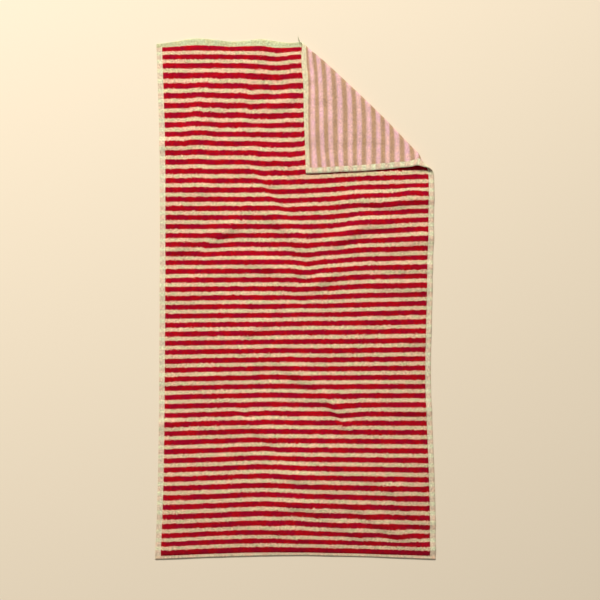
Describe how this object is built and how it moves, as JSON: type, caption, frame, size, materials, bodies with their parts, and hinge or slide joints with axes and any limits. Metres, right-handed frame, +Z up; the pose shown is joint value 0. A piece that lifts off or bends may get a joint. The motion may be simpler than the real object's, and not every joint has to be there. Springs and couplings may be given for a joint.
{
  "type": "bath towel",
  "caption": "Striped terry bath towel lying flat and face up, hemmed at its ends, with a corner turned over to show the paler reverse.",
  "frame": {"origin": "middle of the laid towel's outline, on the surface that it lies on", "axes": "+Y along the towel's length towards the end with the turned corner, +X across it towards the turned corner's side, +Z up from the surface"},
  "size_m": [0.7808, 1.45, 0.0165],
  "materials": {
    "cotton_terry": "matt terry loop pile in red and cream stripes, with flat woven pale green selvages and hems"
  },
  "bodies": {
    "root": {"towel": "cotton_terry"}
  },
  "joints": []
}
